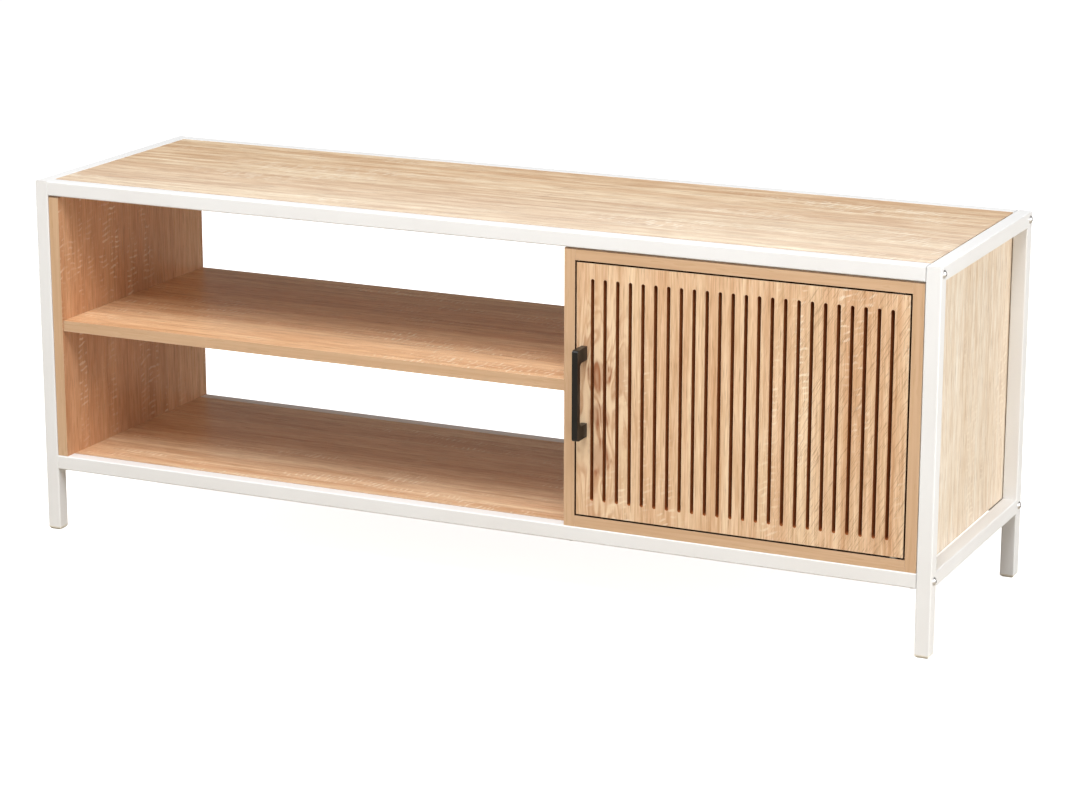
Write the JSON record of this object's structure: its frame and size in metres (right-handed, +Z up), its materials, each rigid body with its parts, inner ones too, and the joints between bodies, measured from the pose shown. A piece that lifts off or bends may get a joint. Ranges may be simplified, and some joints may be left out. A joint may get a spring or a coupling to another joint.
{
  "type": "tv stand",
  "caption": "Low TV stand with a white square-tube frame, light oak boards, an open bay with a shelf and a cabinet with a hinged slotted door.",
  "frame": {"origin": "on the floor, under the centre of the outline box of the whole stand, handle and screw heads included; the frame's own middle is 14.5 mm behind it", "axes": "+X to the right along the stand's length as seen from the front, -Y to the front where the door is, +Z up"},
  "size_m": [1.306, 0.409, 0.5],
  "materials": {
    "frame_paint": "off-white powder coat, satin",
    "oak_board": "light oak foil on chipboard, matt, grain along the length",
    "oak_upright": "light oak foil on chipboard, matt, grain upright",
    "oak_door": "light oak foil on fibreboard, matt, grain upright, slots cut through",
    "back_board": "light oak foil on hardboard, matt",
    "handle_black": "black powder coat, fine texture",
    "screw_steel": "zinc-plated steel",
    "pivot_steel": "nickel-plated steel",
    "cam_zinc": "die-cast zinc",
    "glide_plastic": "off-white plastic",
    "pivot_plastic": "natural nylon",
    "catch_plastic": "white plastic",
    "magnet_black": "dark ferrite block",
    "dowel_wood": "beech, unfinished"
  },
  "bodies": {
    "stand": {"left_end_frame": "frame_paint", "right_end_frame": "frame_paint", "front_top_rail": "frame_paint", "rear_top_rail": "frame_paint", "front_bottom_rail": "frame_paint", "rear_bottom_rail": "frame_paint", "frame_screws": "screw_steel", "front_left_glide": "glide_plastic", "front_right_glide": "glide_plastic", "rear_left_glide": "glide_plastic", "rear_right_glide": "glide_plastic", "top_board": "oak_board", "bottom_board": "oak_board", "left_side_panel": "oak_upright", "right_side_panel": "oak_upright", "divider_panel": "oak_upright", "middle_shelf": "oak_board", "cabinet_floor": "oak_board", "cabinet_roof": "oak_board", "cabinet_back": "back_board", "upper_pivot": "pivot_steel", "lower_pivot": "pivot_steel", "pivot_washer": "pivot_plastic", "pivot_screws": "screw_steel", "catch_body": "catch_plastic", "catch_magnet": "magnet_black", "catch_screws": "screw_steel", "tab_screws": "screw_steel", "panel_screws": "screw_steel", "cam_locks": "cam_zinc", "cam_bolts": "screw_steel", "wood_dowels": "dowel_wood", "back_panel_screws": "screw_steel"},
    "door": {"door_panel": "oak_door", "door_handle": "handle_black", "handle_screws": "screw_steel", "upper_pivot_bush": "pivot_plastic", "lower_pivot_bush": "pivot_plastic", "strike_plate": "pivot_steel", "strike_screw": "screw_steel"}
  },
  "joints": [
    {"name": "door_hinge", "type": "hinge", "parent": "stand", "child": "door", "pos_m": [0.5967, -0.167, 0.2945], "axis": [0, 0, 1], "range_deg": [0, 130]}
  ]
}
